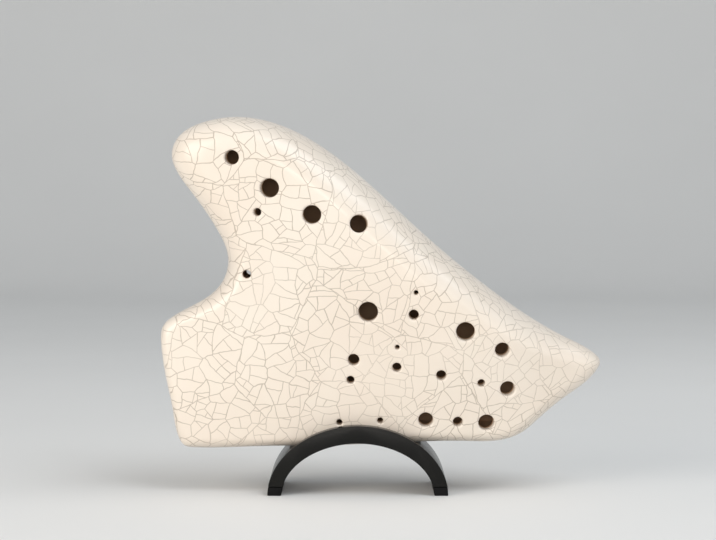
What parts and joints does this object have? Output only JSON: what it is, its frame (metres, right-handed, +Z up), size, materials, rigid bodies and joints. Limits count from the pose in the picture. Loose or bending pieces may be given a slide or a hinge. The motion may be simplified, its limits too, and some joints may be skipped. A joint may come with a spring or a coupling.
{
  "type": "triple ocarina",
  "caption": "Multi-chamber ceramic ocarina with drilled finger holes and rear windows, standing in the slotted crown of an arched display stand.",
  "frame": {"origin": "on the table under the middle of the bounding box, between the stand's feet and the ocarina's ends", "axes": "+X towards the ocarina's pointed tail, +Y towards its back with the windows, +Z up; the finger holes face -Y"},
  "size_m": [0.2069, 0.0486, 0.1756],
  "materials": {
    "crackle_glaze": "creamy white crackle glaze, semi-gloss",
    "bare_clay": "unglazed brown fired clay",
    "black_plastic": "satin black moulded plastic",
    "black_rubber": "matt black"
  },
  "bodies": {
    "stand": {"stand_arch": "black_plastic", "foot_pad_left": "black_rubber", "foot_pad_right": "black_rubber"},
    "ocarina": {"front_shell": "crackle_glaze", "back_shell": "crackle_glaze", "chamber_wall_upper": "bare_clay", "chamber_wall_lower": "bare_clay", "windway_block_main": "bare_clay", "windway_block_second": "bare_clay", "windway_block_third": "bare_clay", "labium_main": "crackle_glaze", "labium_second": "crackle_glaze", "labium_third": "crackle_glaze", "cord_hole_sleeve": "bare_clay"}
  },
  "joints": [
    {"name": "ocarina_lift", "type": "slide", "parent": "stand", "child": "ocarina", "axis": [0, 0, 1], "range_m": [0, 0.05]}
  ]
}
